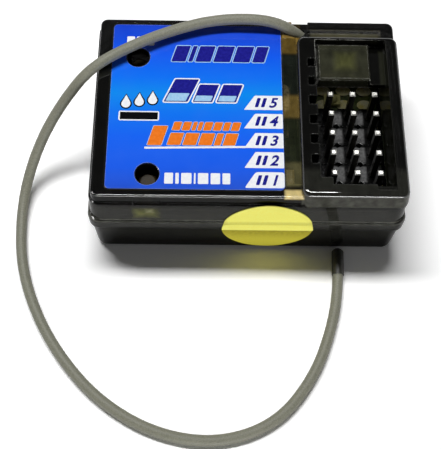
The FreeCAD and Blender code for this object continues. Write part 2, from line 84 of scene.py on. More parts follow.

# Smoked plastic. A zone is its low corner, high corner and blend. The glow zones paint light and shade into
# the colour:
# light that comes through the walls and from lit parts behind them, and a painted shaded band under the lid's
# front edge;
# one of them is the dark parting line. SMOKE_WINDOWS is how clear it is over what stands close behind
SMOKE_ALPHA = 0.94
SMOKE_TINTS = ((4, 4, 3), (12, 12, 10))
SMOKE_GLOSS = (0.03, 0.06)
SMOKE_CELLS = 0.5
SMOKE_RELIEF = 0.004
MOULDED_EDGE = 0.24
# Painted highlight along the plastic's edges
EDGE_HIGHLIGHT_TINT = (46, 46, 42)
COAT_FACING = (0.1, 0.3)
MOTTLE_SHADE = (0.5, 0.5, 0.5, 1.0)
MOTTLE_CELLS = 1.1
MOTTLE_STRETCH = (1.0, 0.5, 1.0)
# Box of the block in the well, whose edges get painted glints instead
BLOCK_ZONE = ((7.6, 2.5, 11.0), (14.6, 8.7, 15.0), 0.2)
BLOCK_EDGE_GLINTS = ((40, 40, 36), (250, 250, 240))
GLINT_CELLS = 2.5
SMOKE_PAINTED_LIGHT_AND_SHADE = [
    # Painted light through the walls and on the ledge
    ((-30.0, -30.0, 1.5), (30.0, 30.0, 9.0), 4.5, (40, 40, 37)),
    ((-30.0, -30.0, 6.2), (30.0, 30.0, 11.3), 1.0, (50, 50, 46)),
    ((-30.0, -30.0, 7.5), (30.0, 30.0, 8.0), 0.12, (104, 104, 96)),
    # Dark parting line
    ((-30.0, -30.0, 5.9), (30.0, 30.0, 6.35), 0.05, (2, 2, 2)),
    # Painted light on the tower's top and front
    ((5.0, -16.0, 12.6), (20.0, -8.0, 16.0), 3.0, (80, 81, 72)),
    ((5.6, -20.0, 11.1), (20.0, -11.3, 13.4), 0.3, (82, 82, 75)),
    # Painted shade: a black band under the lid's front edge
    ((-30.0, -30.0, 11.25), (5.7, 30.0, 12.5), 0.1, (1, 1, 1)),
    # Painted glow of lit parts behind the front wall, of the block in the well, and of the parts under the
    # strip beside the tower, with its bright corner
    ((-13.2, -20.0, 7.9), (-9.4, -8.0, 10.9), 1.5, (112, 114, 60)),
    ((-11.6, -20.0, 9.2), (-10.2, -8.0, 10.6), 0.7, (150, 150, 110)),
    ((8.0, 2.9, 11.0), (14.2, 8.3, 14.0), 0.35, (64, 65, 50)),
    ((9.5, 4.1, 8.0), (13.0, 7.5, 17.0), 1.6, (108, 110, 64)),
    ((7.3, 9.5, 11.0), (15.8, 10.7, 13.0), 0.3, (104, 101, 76)),
    ((2.0, 6.7, 12.0), (6.4, 13.4, 13.4), 0.7, (150, 122, 56)),
    ((2.0, 1.0, 12.0), (6.4, 7.4, 13.4), 0.7, (40, 47, 38)),
    ((2.0, -2.1, 12.0), (6.4, 1.7, 13.4), 0.7, (158, 132, 66)),
    ((2.0, -7.8, 12.0), (6.4, -1.3, 13.4), 0.7, (48, 54, 34)),
    ((2.0, -10.6, 12.0), (6.4, -7.0, 13.4), 0.7, (124, 118, 78)),
    ((3.7, -12.4, 12.2), (6.1, -10.6, 13.1), 0.38, (246, 222, 150)),
    # Painted light on the tower's inner right wall
    ((15.2, -10.0, 7.0), (16.9, 8.0, 13.45), 0.3, (36, 37, 28)),
]
SMOKE_WINDOWS = [
    ((4.0, -10.1, 11.0), (5.75, 9.4, 13.0), 0.15, 0.55),
    ((4.2, -11.9, 11.0), (5.75, -10.0, 13.0), 0.3, 0.1),
    ((8.0, 2.9, 11.0), (14.2, 8.3, 14.0), 0.3, 0.3),
    ((7.3, 9.5, 11.0), (15.8, 10.7, 13.0), 0.2, 0.4),
]

# Label film: its blues from the near edge to the far one, a light haze and a pale cut edge
LABEL_BLUES = [
    (0.0, (36, 84, 214)), (0.12, (26, 94, 240)), (0.3, (20, 102, 250)), (0.45, (12, 120, 248)),
    (0.56, (6, 142, 246)), (0.66, (8, 116, 250)), (0.8, (14, 92, 244)), (0.9, (20, 76, 224)),
    (1.0, (22, 64, 208))]
LABEL_HAZE = (0.1, 0.1, 0.1, 1.0)
LABEL_HAZE_TINT = (60, 120, 240)
LABEL_GLOSS = (0.06, 0.1)
LABEL_CELLS = 0.4
LABEL_RELIEF = 0.003
LABEL_EDGE = 0.09
LABEL_EDGE_TINT = (168, 192, 250)

# Seal: bright above its fold line, with painted shade below it that lightens again towards its foot
SEAL_FOLD = 5.75
SEAL_UPPER = ((-20.0, -20.0, SEAL_FOLD), (20.0, 0.0, 20.0), 0.3)
SEAL_FOOT = ((-20.0, -20.0, -9.0), (20.0, 0.0, SEAL_FOLD), 3.0)
SEAL_TINTS = ((254, 247, 104), (255, 253, 128))
SEAL_SHADED = ((150, 140, 22), (182, 170, 44))
SEAL_FOOT_TINT = (206, 196, 60)
SEAL_GLOSS = (0.45, 0.6)
SEAL_CELLS = (6.0, 3.0)
SEAL_RELIEF = 0.004

# Pins, and the ring pads on the board in the two rows left without pins. The pads' profile goes inwards, as
# shares of the reach and of the height
PIN_PITCH = 2.54
PINS_IN_ROW = 3
FIRST_COLUMN = 9.37
FIRST_ROW = -8.7
PIN_TIP = 0.16
PIN_TIP_BLEND = 0.06
# Painted dark reflection along the pins and painted highlight at their tips
PIN_DARK_REFLECTION = ((44, 42, 34), (74, 71, 58))
PIN_TIP_HIGHLIGHT = (255, 254, 246)
PIN_GLOSS = (0.26, 0.36)
PIN_CELLS = 4.0
PIN_RELIEF = 0.004
PAD_SHIFT = 0.22
SPARE_ROWS = (4.85, 6.9)
PAD_REACH = (0.95, 0.72)
PAD_HOLE = 0.4
PAD_HEIGHT = 0.05
PAD_PROFILE = [(1.0, 0.0), (0.93, 1.0), (PAD_HOLE + 0.07, 1.0), (PAD_HOLE, 0.3), (0.02, 0.3)]
PAD_SIDES = 28

# Pin strips, and the painted light on their tops between the pins
HEADER_TINT = (9, 9, 9)
HEADER_PAINTED_LIGHT = ((66, 66, 66), (104, 104, 104))
HEADER_GLOSS = (0.12, 0.2)
HEADER_CELLS = 4.0
HEADER_EDGE = 0.15
HEADER_RELIEF = 0.003
PAINTED_LIGHT_ACROSS = (0.5, 0.75)
PAINTED_LIGHT_ALONG = (1.08, 0.92)
PAINTED_LIGHT_BLEND = 0.3

# Plain finishes: tints, gloss, cells of the grain and its relief, and what else the finish has
PLAIN_FINISHES = {
    "board_laminate": dict(tints=((40, 62, 24), (92, 102, 38)), gloss=(0.25, 0.4), cells=1.6, relief=0.01,
                           edge=(150, 140, 84), Coat_Weight=0.3),
    "chip_epoxy": dict(tints=((14, 14, 13), (36, 36, 36)), gloss=(0.45, 0.65), cells=9.0, relief=0.01,
                       edge=(70, 70, 70)),
    "nickel_can": dict(tints=((170, 150, 100), (226, 208, 160)), gloss=(0.25, 0.4), cells=3.0, relief=0.004,
                       stretch=(1.0, 1.0, 4.0), Metallic=0.6),
    "tantalum_moulding": dict(tints=((226, 190, 100), (252, 236, 170)), gloss=(0.3, 0.45), cells=2.2,
                              relief=0.01, edge=(255, 244, 200)),
    "clear_lens": dict(tints=((196, 190, 110), (240, 236, 170)), gloss=(0.08, 0.15), cells=3.0, relief=0.003),
    "ceramic_chip": dict(tints=((120, 96, 58), (172, 140, 92)), gloss=(0.4, 0.6), cells=5.0, relief=0.01,
                         edge=(210, 206, 190)),
    "antenna_jacket": dict(tints=((110, 110, 96), (136, 136, 119)), gloss=(0.42, 0.6), cells=7.0, relief=0.02,
                           Sheen_Weight=0.1),
    # Dark tip cap, whose dark tint also paints the shade where the wire's end runs into the case's shadow
    "shrink_cap": dict(tints=((30, 30, 27), (58, 57, 51)), gloss=(0.35, 0.5), cells=5.0, relief=0.012),
    "switch_body": dict(tints=((22, 22, 20), (50, 48, 40)), gloss=(0.4, 0.6), cells=5.0, relief=0.01,
                        edge=(90, 88, 76)),
    "button_stem": dict(tints=((28, 23, 13), (56, 47, 28)), gloss=(0.4, 0.55), cells=4.0, relief=0.01,
                        edge=(100, 86, 58), Specular_IOR_Level=0.15),
    "gold_pad": dict(tints=((238, 224, 130), (255, 252, 214)), gloss=(0.25, 0.4), cells=1.2, relief=0.006),
}

# Inks: their tints, and the finish that all of them share
INKS = {
    "white_ink": ((240, 243, 250), (253, 254, 255)),
    "navy_ink": ((24, 24, 128), (34, 34, 150)),
    "sky_ink": ((150, 200, 240), (176, 214, 244)),
    "orange_ink": ((238, 116, 26), (250, 132, 40)),
    "black_ink": ((4, 4, 8), (9, 9, 14)),
}
INK_FINISH = dict(gloss=(0.06, 0.1), cells=3.0, relief=0.002, Coat_Weight=0.2)

# Print on the label, from the case's middle. A block is its left, right, foot and head, and then its slant.
# A row is its left, right, foot and head, the relative widths of its blocks and the gap between them
PRINT_LIFT = 0.012
SLANT = 0.28
BLOCK_CORNER = 0.12
CORNER_SHARE = 2.2
PORT_ROWS = [(-0.6, 1.3), (-3.05, -1.12), (-5.57, -3.63), (-8.09, -6.07), (-10.56, -8.59)]
PORT_CORNERS = (0.14, 0.14, 0.14, 0.14, 0.3)
PORT_LEFT = (-0.5, 0.75)
PORT_GAP = 0.02
PORT_BARS = [(0.72, 1.12), (1.42, 1.82)]
PORT_BAR_ENDS = (0.36, 1.58)
DIGIT_MIDDLE = 2.75
DIGIT_HEIGHT = 1.25
DIGIT_TYPE = 1.42
DIGIT_WEIGHT = 0.05
BAND_ROW = (-8.86, 2.5, 5.85, 8.05, [2.0, 0.6, 2.2, 2.4, 2.4, 1.7], 0.32)
BAND_MARGIN = 0.11
TITLE_BLOCKS = [
    (-9.6, -6.9, 0.35, 3.4, 0.42), (-6.3, -4.1, 0.35, 2.7, 0.34), (-3.6, -1.4, 0.35, 2.7, 0.34)]
TITLE_SHINE = [
    (-9.4, -7.1, 0.45, 1.5, 0.42), (-6.15, -4.25, 0.45, 1.2, 0.34), (-3.45, -1.55, 0.45, 1.2, 0.34)]
ORANGE_SMALL_ROW = (-8.6, -0.8, -3.4, -2.3, [1, 1, 0.5, 0.5, 1, 1, 0.8, 1], 0.2)
ORANGE_SMALL_MARGIN = 0.05
ORANGE_LARGE_BLOCK = (-11.3, -9.7, -5.35, -2.85)
ORANGE_LARGE_ROW = (-9.1, -1.1, -5.3, -3.75, [1.2, 1.2, 1.2, 0.6, 1.1], 0.25)
ORANGE_LARGE_MARGIN = 0.06
UNDERLINE = [(-11.55, -5.83), (0.2, -5.57), (0.2, -5.32), (-11.55, -5.58)]
NEAR_ROW = (-9.24, -2.05, -10.15, -8.8, [1, 0.4, 1.2, 0.2, 1.2, 1.1, 0.9], 0.25)
FAR_ROW = (-14.1, -10.9, 8.05, 9.3, [1, 1, 1], 0.25)
PLINTH = [(-14.45, -2.05), (-10.2, -2.05), (-10.2, -1.1), (-14.45, -1.1)]
PLINTH_CORNER = 0.05
WIDE_MARGIN = 0.16
DROP_COUNT = 3
DROP_START = (-13.85, 0.0)
DROP_STEP = (1.5, 0.25)
DROP_RADIUS = 0.52
DROP_TIP = 2.3
DROP_ARC = (150, 240)
DROP_SIDES = 14


def srgb(tint):
    """Linear colour of a tint."""
    levels = [level / 255 for level in tint]
    return (*[((c + 0.055) / 1.055) ** 2.4 if c > 0.04 else c / 12.92 for c in levels], 1.0)


def shades(tints):
    """Linear colours of a pair of tints."""
    return [srgb(tint) for tint in tints]


def add_piece(name, data, material):
    """Object for new geometry that rides on the housing."""
    piece = bpy.data.objects.new(name, data)
    bpy.context.scene.collection.objects.link(piece)
    piece.data.materials.append(material)
    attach(piece, HOUSING)
    return piece


def principled(name, **plain):
    """New node material and its shader, with plain values set on the shader's own sockets."""
    material = bpy.data.materials.new(name)
    material.use_nodes = True
    shader = material.node_tree.nodes["Principled BSDF"]
    for socket, value in plain.items():
        shader.inputs[socket.replace("_", " ")].default_value = value
    return material, shader


def feed(tree, value, socket):
    """Links a socket to a value that is a socket too, or sets it to a plain value."""
    if isinstance(value, bpy.types.NodeSocket):
        tree.links.new(value, socket)
    else:
        socket.default_value = value


def operate(tree, kind, operation, values, output):
    """Maths node of a kind, fed with its values."""
    node = tree.nodes.new(kind)
    node.operation = operation
    for socket, value in zip(node.inputs, values):
        feed(tree, value, socket)
    return node.outputs[output]


def maths(tree, operation, *values):
    """Number worked out from numbers."""
    return operate(tree, "ShaderNodeMath", operation, values, "Value")


def vector_maths(tree, operation, *values, output="Vector"):
    """Vector worked out from vectors, or with output="Value" a number."""
    return operate(tree, "ShaderNodeVectorMath", operation, values, output)


def map_range(tree, value, low, high, new_low=0.0, new_high=1.0, smooth=False):
    """Value spread from one range to another. Each limit is a number or a socket."""
    node = tree.nodes.new("ShaderNodeMapRange")
    if smooth:
        node.interpolation_type = "SMOOTHSTEP"
    limits = zip(("From Min", "From Max", "To Min", "To Max"), (low, high, new_low, new_high))
    for name, limit in limits:
        feed(tree, limit, node.inputs[name])
    tree.links.new(value, node.inputs["Value"])
    return node.outputs["Result"]


def mix_colour(tree, factor, first, second):
    """Colour between two, each a colour or a socket."""
    node = tree.nodes.new("ShaderNodeMix")
    node.data_type = "RGBA"
    tree.links.new(factor, node.inputs["Factor"])
    feed(tree, first, node.inputs[6])
    feed(tree, second, node.inputs[7])
    return node.outputs[2]


def split(tree, vector):
    """The X, Y and Z of a vector."""
    node = tree.nodes.new("ShaderNodeSeparateXYZ")
    tree.links.new(vector, node.inputs["Vector"])
    return node.outputs


def place_in_millimetres(tree):
    """Place on the piece, in millimetres."""
    place = tree.nodes.new("ShaderNodeTexCoord")
    return vector_maths(tree, "DIVIDE", place.outputs["Object"], (MM, MM, MM))


def new_group(name, inputs, outputs):
    """Shader group with named sockets: inputs as name, kind and default, outputs as name and kind."""
    group = bpy.data.node_groups.new(name, "ShaderNodeTree")
    for socket, kind, default in inputs:
        item = group.interface.new_socket(socket, in_out="INPUT", socket_type="NodeSocket" + kind)
        item.default_value = default
    for socket, kind in outputs:
        group.interface.new_socket(socket, in_out="OUTPUT", socket_type="NodeSocket" + kind)
    given = group.nodes.new("NodeGroupInput").outputs
    return group, given, group.nodes.new("NodeGroupOutput").inputs


def make_grain_group():
    """Fine moulded or brushed grain: a colour between two, a roughness between two, and a height."""
    group, given, out = new_group(
        "fine_grain",
        [("Cells", "Float", 4.0), ("Stretch", "Vector", EVEN), ("Dark", "Color", BLACK),
         ("Light", "Color", WHITE), ("Gloss", "Float", 0.3), ("Matt", "Float", 0.4)],
        [("Color", "Color"), ("Roughness", "Float"), ("Height", "Float")])
    place = vector_maths(group, "MULTIPLY", place_in_millimetres(group), given["Stretch"])
    noise = group.nodes.new("ShaderNodeTexNoise")
    noise.inputs["Detail"].default_value = GRAIN_DETAIL
    group.links.new(place, noise.inputs["Vector"])
    group.links.new(given["Cells"], noise.inputs["Scale"])
    spread = map_range(group, noise.outputs["Fac"], *GRAIN_SPREAD)
    roughness = map_range(group, spread, 0.0, 1.0, given["Gloss"], given["Matt"])
    group.links.new(mix_colour(group, spread, given["Dark"], given["Light"]), out["Color"])
    group.links.new(roughness, out["Roughness"])
    group.links.new(spread, out["Height"])


def make_zone_group():
    """Mask that is 1 inside a box given in millimetres and fades to 0 over its blend."""
    group, given, out = new_group(
        "zone",
        [("Low", "Vector", (0.0, 0.0, 0.0)), ("High", "Vector", EVEN), ("Blend", "Float", 0.5)],
        [("Mask", "Float")])
    place = place_in_millimetres(group)
    above = vector_maths(group, "SUBTRACT", place, given["Low"])
    below = vector_maths(group, "SUBTRACT", given["High"], place)
    depths = split(group, vector_maths(group, "MINIMUM", above, below))
    least = maths(group, "MINIMUM", maths(group, "MINIMUM", depths["X"], depths["Y"]), depths["Z"])
    group.links.new(map_range(group, least, 0.0, given["Blend"], smooth=True), out["Mask"])


def make_edge_group():
    """Rounded edges: a mask of the edges and a normal that rounds them."""
    group, given, out = new_group(
        "soft_edges", [("Radius", "Float", 0.1)], [("Mask", "Float"), ("Normal", "Vector")])
    bevel = group.nodes.new("ShaderNodeBevel")
    bevel.samples = EDGE_SAMPLES
    group.links.new(maths(group, "MULTIPLY", given["Radius"], MM), bevel.inputs["Radius"])
    flat = group.nodes.new("ShaderNodeNewGeometry").outputs["Normal"]
    turn = vector_maths(group, "DOT_PRODUCT", bevel.outputs["Normal"], flat, output="Value")
    group.links.new(map_range(group, turn, *EDGE_TURN), out["Mask"])
    group.links.new(bevel.outputs["Normal"], out["Normal"])


def use_group(tree, name, **values):
    """Group placed in a material with its own values."""
    node = tree.nodes.new("ShaderNodeGroup")
    node.node_tree = bpy.data.node_groups[name]
    for socket, value in values.items():
        node.inputs[socket].default_value = value
    return node.outputs


def add_grain(tree, colours, cells, gloss=(0.0, 1.0), stretch=EVEN):
    """Grain between two linear colours and two roughnesses."""
    return use_group(tree, "fine_grain", Cells=cells, Stretch=stretch, Dark=colours[0], Light=colours[1],
                     Gloss=gloss[0], Matt=gloss[1])


def add_zone(tree, low, high, blend):
    """Mask of a box."""
    return use_group(tree, "zone", Low=low, High=high, Blend=blend)["Mask"]


def add_finish(tree, shader, colour, grain, relief, normal=None):
    """Colour of a shader, and the grain's roughness and bump, over a rounded normal if there is one."""
    tree.links.new(colour, shader.inputs["Base Color"])
    tree.links.new(grain["Roughness"], shader.inputs["Roughness"])
    bump = tree.nodes.new("ShaderNodeBump")
    bump.inputs["Distance"].default_value = relief * MM
    tree.links.new(grain["Height"], bump.inputs["Height"])
    if normal:
        tree.links.new(normal, bump.inputs["Normal"])
    tree.links.new(bump.outputs["Normal"], shader.inputs["Normal"])


def plain_material(name, tints, gloss, cells, relief, stretch=EVEN, edge=None, **plain):
    """Material with fine grain and, where an edge tint is given, edges that turn towards it."""
    material, shader = principled(name, **plain)
    tree = material.node_tree
    grain = add_grain(tree, shades(tints), cells, gloss, stretch)
    colour, normal = grain["Color"], None
    if edge:
        edges = use_group(tree, "soft_edges", Radius=PLAIN_EDGE_RADIUS)
        colour = mix_colour(tree, edges["Mask"], colour, srgb(edge))
        normal = edges["Normal"]
    add_finish(tree, shader, colour, grain, relief, normal)
    return material


def smoked_material():
    """Clear smoke-tinted plastic: nearly black where it is thick, with painted light where light comes
    through the walls and from lit parts behind them, a painted shaded band under the lid's front edge,
    painted highlights and glints along its edges, and see-through where something stands close behind it."""
    material, shader = principled(
        "smoked_plastic", Specular_IOR_Level=0.08, Coat_Roughness=0.03, Coat_IOR=1.7)
    tree = material.node_tree
    grain = add_grain(tree, shades(SMOKE_TINTS), SMOKE_CELLS, SMOKE_GLOSS)
    edges = use_group(tree, "soft_edges", Radius=MOULDED_EDGE)
    colour = grain["Color"]
    # Painted light and shade of the glow zones
    for low, high, blend, tint in SMOKE_PAINTED_LIGHT_AND_SHADE:
        colour = mix_colour(tree, add_zone(tree, low, high, blend), colour, srgb(tint))
    mottle = add_grain(tree, (MOTTLE_SHADE, WHITE), MOTTLE_CELLS, stretch=MOTTLE_STRETCH)
    colour = vector_maths(tree, "MULTIPLY", colour, mottle["Color"])
    # Painted highlight along the edges, with painted glints on the block's edges
    glints = add_grain(tree, shades(BLOCK_EDGE_GLINTS), GLINT_CELLS)
    edge_highlight = mix_colour(tree, add_zone(tree, *BLOCK_ZONE), srgb(EDGE_HIGHLIGHT_TINT), glints["Color"])
    colour = mix_colour(tree, edges["Mask"], colour, edge_highlight)
    facing = split(tree, tree.nodes.new("ShaderNodeTexCoord").outputs["Normal"])
    tree.links.new(map_range(tree, facing["Z"], *COAT_FACING), shader.inputs["Coat Weight"])
    cover = None
    for low, high, blend, clearness in SMOKE_WINDOWS:
        zone = add_zone(tree, low, high, blend)
        share = map_range(tree, zone, 0.0, 1.0, SMOKE_ALPHA, 1.0 - clearness)
        cover = share if cover is None else maths(tree, "MINIMUM", cover, share)
    tree.links.new(cover, shader.inputs["Alpha"])
    add_finish(tree, shader, colour, grain, SMOKE_RELIEF, edges["Normal"])
    return material


def label_material():
    """Glossy film whose blue runs from royal to sky and back, from its near edge to its far one."""
    material, shader = principled("label_film", Coat_Weight=0.35, Coat_Roughness=0.05)
    tree = material.node_tree
    low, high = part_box("top_label")
    place = split(tree, place_in_millimetres(tree))
    along = map_range(tree, place["Y"], low.y / MM, high.y / MM)
    ramp = tree.nodes.new("ShaderNodeValToRGB")
    stops = ramp.color_ramp.elements
    for stop, (position, tint) in zip((stops[0], stops[1]), (LABEL_BLUES[0], LABEL_BLUES[-1])):
        stop.position = position
        stop.color = srgb(tint)
    for position, tint in LABEL_BLUES[1:-1]:
        stops.new(position).color = srgb(tint)
    tree.links.new(along, ramp.inputs["Fac"])
    grain = add_grain(tree, (BLACK, LABEL_HAZE), LABEL_CELLS, LABEL_GLOSS)
    edges = use_group(tree, "soft_edges", Radius=LABEL_EDGE)
    blue = mix_colour(tree, grain["Color"], ramp.outputs["Color"], srgb(LABEL_HAZE_TINT))
    colour = mix_colour(tree, edges["Mask"], blue, srgb(LABEL_EDGE_TINT))
    add_finish(tree, shader, colour, grain, LABEL_RELIEF)
    return material


def seal_material():
    """Yellow vinyl paper, with painted shade below its fold line, under the parting line."""
    material, shader = principled("seal_paper", Specular_IOR_Level=0.3)
    tree = material.node_tree
    upper = add_grain(tree, shades(SEAL_TINTS), SEAL_CELLS[0], SEAL_GLOSS)
    # Painted shade below the fold, lighter towards the foot
    shaded = add_grain(tree, shades(SEAL_SHADED), SEAL_CELLS[1])
    lower = mix_colour(tree, add_zone(tree, *SEAL_FOOT), shaded["Color"], srgb(SEAL_FOOT_TINT))
    colour = mix_colour(tree, add_zone(tree, *SEAL_UPPER), lower, upper["Color"])
    add_finish(tree, shader, colour, upper, SEAL_RELIEF)
    return material


def header_material():
    """Black pin strips with painted light on their tops between the pins."""
    material, shader = principled("header_plastic", Specular_IOR_Level=0.4)
    tree = material.node_tree
    grain = add_grain(tree, shades(HEADER_PAINTED_LIGHT), HEADER_CELLS, HEADER_GLOSS)
    edges = use_group(tree, "soft_edges", Radius=HEADER_EDGE)
    place = split(tree, place_in_millimetres(tree))
    across = maths(tree, "PINGPONG", maths(tree, "SUBTRACT", place["X"], FIRST_COLUMN), PIN_PITCH / 2)
    along = maths(tree, "PINGPONG", maths(tree, "SUBTRACT", place["Y"], FIRST_ROW), PIN_PITCH / 2)
    last_column = FIRST_COLUMN + (PINS_IN_ROW - 1) * PIN_PITCH
    between = add_zone(tree, (FIRST_COLUMN, -20.0, 0.0), (last_column, 20.0, 20.0), PAINTED_LIGHT_BLEND)
    across = map_range(tree, across, *PAINTED_LIGHT_ACROSS)
    along = map_range(tree, along, *PAINTED_LIGHT_ALONG)
    # Painted light on the tops between the pins
    mask = maths(tree, "MULTIPLY", maths(tree, "MULTIPLY", across, along), between)
    colour = mix_colour(tree, mask, srgb(HEADER_TINT), grain["Color"])
    add_finish(tree, shader, colour, grain, HEADER_RELIEF, edges["Normal"])
    return material


def pin_material():
    """Plated pins, painted dark along them for their dark reflection, with a painted highlight at their tips.
    """
    material, shader = principled("plated_pin", Metallic=1.0)
    tree = material.node_tree
    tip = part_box("header_pins_1")[1].z / MM - PIN_TIP
    tips = add_zone(tree, (-30.0, -30.0, tip), (30.0, 30.0, 30.0), PIN_TIP_BLEND)
    grain = add_grain(tree, shades(PIN_DARK_REFLECTION), PIN_CELLS, PIN_GLOSS)
    # Painted highlight at the tips over the painted dark reflection
    colour = mix_colour(tree, tips, grain["Color"], srgb(PIN_TIP_HIGHLIGHT))
    add_finish(tree, shader, colour, grain, PIN_RELIEF)
    return material


def make_materials():
    """All finishes, by the slot names of the record, and the inks and the pads' gold."""
    materials = {
        "smoked_plastic": smoked_material(),
        "label_film": label_material(),
        "seal_paper": seal_material(),
        "header_plastic": header_material(),
        "plated_pin": pin_material(),
    }
    for name, finish in PLAIN_FINISHES.items():
        materials[name] = plain_material(name, **finish)
    for name, tints in INKS.items():
        materials[name] = plain_material(name, tints, **INK_FINISH)
    return materials


def dress_nodes(packed, materials):
    """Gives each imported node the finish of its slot."""
    for entry in packed["record"]["subparts"]:
        node = packed["nodes"][entry["node"]]
        node.data.materials.clear()
        node.data.materials.append(materials[entry["material_slot"]])


def rounded(corners, radius, steps=4):
    """Outline with each corner turned into a short curve."""
    points = []
    count = len(corners)
    for index, corner in enumerate(corners):
        here = Vector(corner)
        before = Vector(corners[index - 1]) - here
        after = Vector(corners[(index + 1) % count]) - here
        reach = min(radius, before.length / CORNER_SHARE, after.length / CORNER_SHARE)
        first = here + before.normalized() * reach
        last = here + after.normalized() * reach
        for step in range(steps + 1):
            t = step / steps
            points.append(first * (1 - t) ** 2 + here * 2 * t * (1 - t) + last * t ** 2)
    return points


def slanted(x0, x1, y0, y1, slant=SLANT):
    """Round-cornered block that leans to the right by a share of its height."""
    lean = (y1 - y0) * slant
    return rounded([(x0, y0), (x1, y0), (x1 + lean, y1), (x0 + lean, y1)], BLOCK_CORNER)


def bar_row(x0, x1, y0, y1, widths, gap, slant=SLANT):
    """Row of slanted blocks of relative widths between two ends."""
    lean = (y1 - y0) * slant
    unit = (x1 - x0 - lean - gap * (len(widths) - 1)) / sum(widths)
    row = []
    start = x0
    for width in widths:
        row.append(slanted(start, start + width * unit, y0, y1, slant))
        start += width * unit + gap
    return row


def drop(x, y):
    """Plain drop: a circle drawn out to a point at the top."""
    points = [Vector((x, y + DROP_TIP * DROP_RADIUS))]
    start, sweep = DROP_ARC
    for step in range(DROP_SIDES + 1):
        angle = math.radians(start + sweep * step / DROP_SIDES)
        points.append(Vector((x + DROP_RADIUS * math.cos(angle), y + DROP_RADIUS * math.sin(angle))))
    return points


def grown(points, margin):
    """Outline set out by a margin, from the normals of its edges."""
    count = len(points)
    out = []
    for index, point in enumerate(points):
        back = point - points[index - 1]
        ahead = points[(index + 1) % count] - point
        normal = Vector((back.y, -back.x)).normalized() + Vector((ahead.y, -ahead.x)).normalized()
        out.append(point + normal.normalized() * margin)
    return out


def fill_mesh(mesh, bm):
    """Writes the built faces to a mesh, all of them facing up."""
    bmesh.ops.recalc_face_normals(bm, faces=bm.faces)
    for face in bm.faces:
        if face.normal.z < 0:
            face.normal_flip()
    bm.to_mesh(mesh)
    bm.free()


def print_level(layer):
    """Height of a layer of ink, in metres."""
    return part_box("top_label")[1].z + PRINT_LIFT * layer * MM


def print_shapes(name, outlines, material, layer=1):
    """Ink film on the label: each closed outline as a thin raised face."""
    level = print_level(layer)
    mesh = bpy.data.meshes.new(name)
    bm = bmesh.new()
    for outline in outlines:
        bm.faces.new([bm.verts.new((point[0] * MM, point[1] * MM, level)) for point in outline])
    fill_mesh(mesh, bm)
    add_piece(name, mesh, material)


def print_outlined(name, outlines, fill, edge, margin):
    """Shapes over a wider print of the same shapes, which shows as their edge."""
    print_shapes(name + "_edge", [grown(outline, margin) for outline in outlines], edge)
    print_shapes(name, outlines, fill, 2)


def print_digit(name, digit, x, y, material):
    """Plain bold leaning digit."""
    curve = bpy.data.curves.new(name, "FONT")
    curve.body = digit
    curve.size = DIGIT_HEIGHT * DIGIT_TYPE * MM
    curve.shear = SLANT
    curve.offset = DIGIT_WEIGHT * MM
    curve.align_x = "CENTER"
    piece = add_piece(name, curve, material)
    piece.location = (x * MM, y * MM, print_level(2))


def make_ports(white, navy):
    """Pale tab beside each row of pins, with two bars and the row's number."""
    foot_left, head_left = PORT_LEFT
    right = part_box("top_label")[1].x / MM - PORT_GAP
    low, high = PORT_BAR_ENDS
    tabs = []
    for row, ((y0, y1), corner) in enumerate(zip(PORT_ROWS, PORT_CORNERS)):
        port = len(PORT_ROWS) - row
        tabs.append(rounded([(foot_left, y0), (right, y0), (right, y1), (head_left, y1)], corner))
        print_digit(f"port_digit_{port}", str(port), DIGIT_MIDDLE, y0 + low, navy)
        bars = [slanted(x0, x1, y0 + low, y0 + high) for x0, x1 in PORT_BARS]
        print_shapes(f"port_bars_{port}", bars, navy, 2)
    print_shapes("port_tabs", tabs, white)


def make_label_print(materials):
    """All print on the label, as fields of colour and plain shapes."""
    white, navy, sky = materials["white_ink"], materials["navy_ink"], materials["sky_ink"]
    orange, black = materials["orange_ink"], materials["black_ink"]
    make_ports(white, navy)
    print_outlined("band_bars", bar_row(*BAND_ROW), navy, sky, BAND_MARGIN)
    print_outlined("title_bars", [slanted(*block) for block in TITLE_BLOCKS], navy, white, WIDE_MARGIN)
    print_shapes("title_shine", [slanted(*block) for block in TITLE_SHINE], sky, 3)
    print_outlined("orange_small", bar_row(*ORANGE_SMALL_ROW), orange, sky, ORANGE_SMALL_MARGIN)
    large = [slanted(*ORANGE_LARGE_BLOCK), *bar_row(*ORANGE_LARGE_ROW)]
    print_outlined("orange_large", large, orange, sky, ORANGE_LARGE_MARGIN)
    print_shapes("underline", [UNDERLINE], white, 2)
    print_shapes("near_bars", bar_row(*NEAR_ROW, slant=0.0), white)
    print_shapes("far_bars", bar_row(*FAR_ROW, slant=0.0), white)
    print_outlined("plinth", [rounded(PLINTH, PLINTH_CORNER)], black, white, WIDE_MARGIN)
    drops = [drop(DROP_START[0] + DROP_STEP[0] * n, DROP_START[1] + DROP_STEP[1] * n)
             for n in range(DROP_COUNT)]
    print_outlined("drops", drops, white, black, WIDE_MARGIN)


def make_antenna(materials):
    """Free stretch of the antenna, as one round wire along its route."""
    curve = bpy.data.curves.new("antenna", "CURVE")
    curve.dimensions = "3D"
    spline = curve.splines.new("NURBS")
    spline.points.add(len(WIRE_ROUTE) - 1)
    for point, place in zip(spline.points, WIRE_ROUTE):
        point.co = (*[value * MM for value in place], 1.0)
    spline.order_u = 3
    spline.use_endpoint_u = True
    spline.resolution_u = WIRE_STEPS
    curve.bevel_depth = WIRE_DIAMETER / 2 * MM
    curve.bevel_resolution = WIRE_ROUNDNESS
    wire = add_piece("antenna", curve, materials["antenna_jacket"])
    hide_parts("antenna_wire")


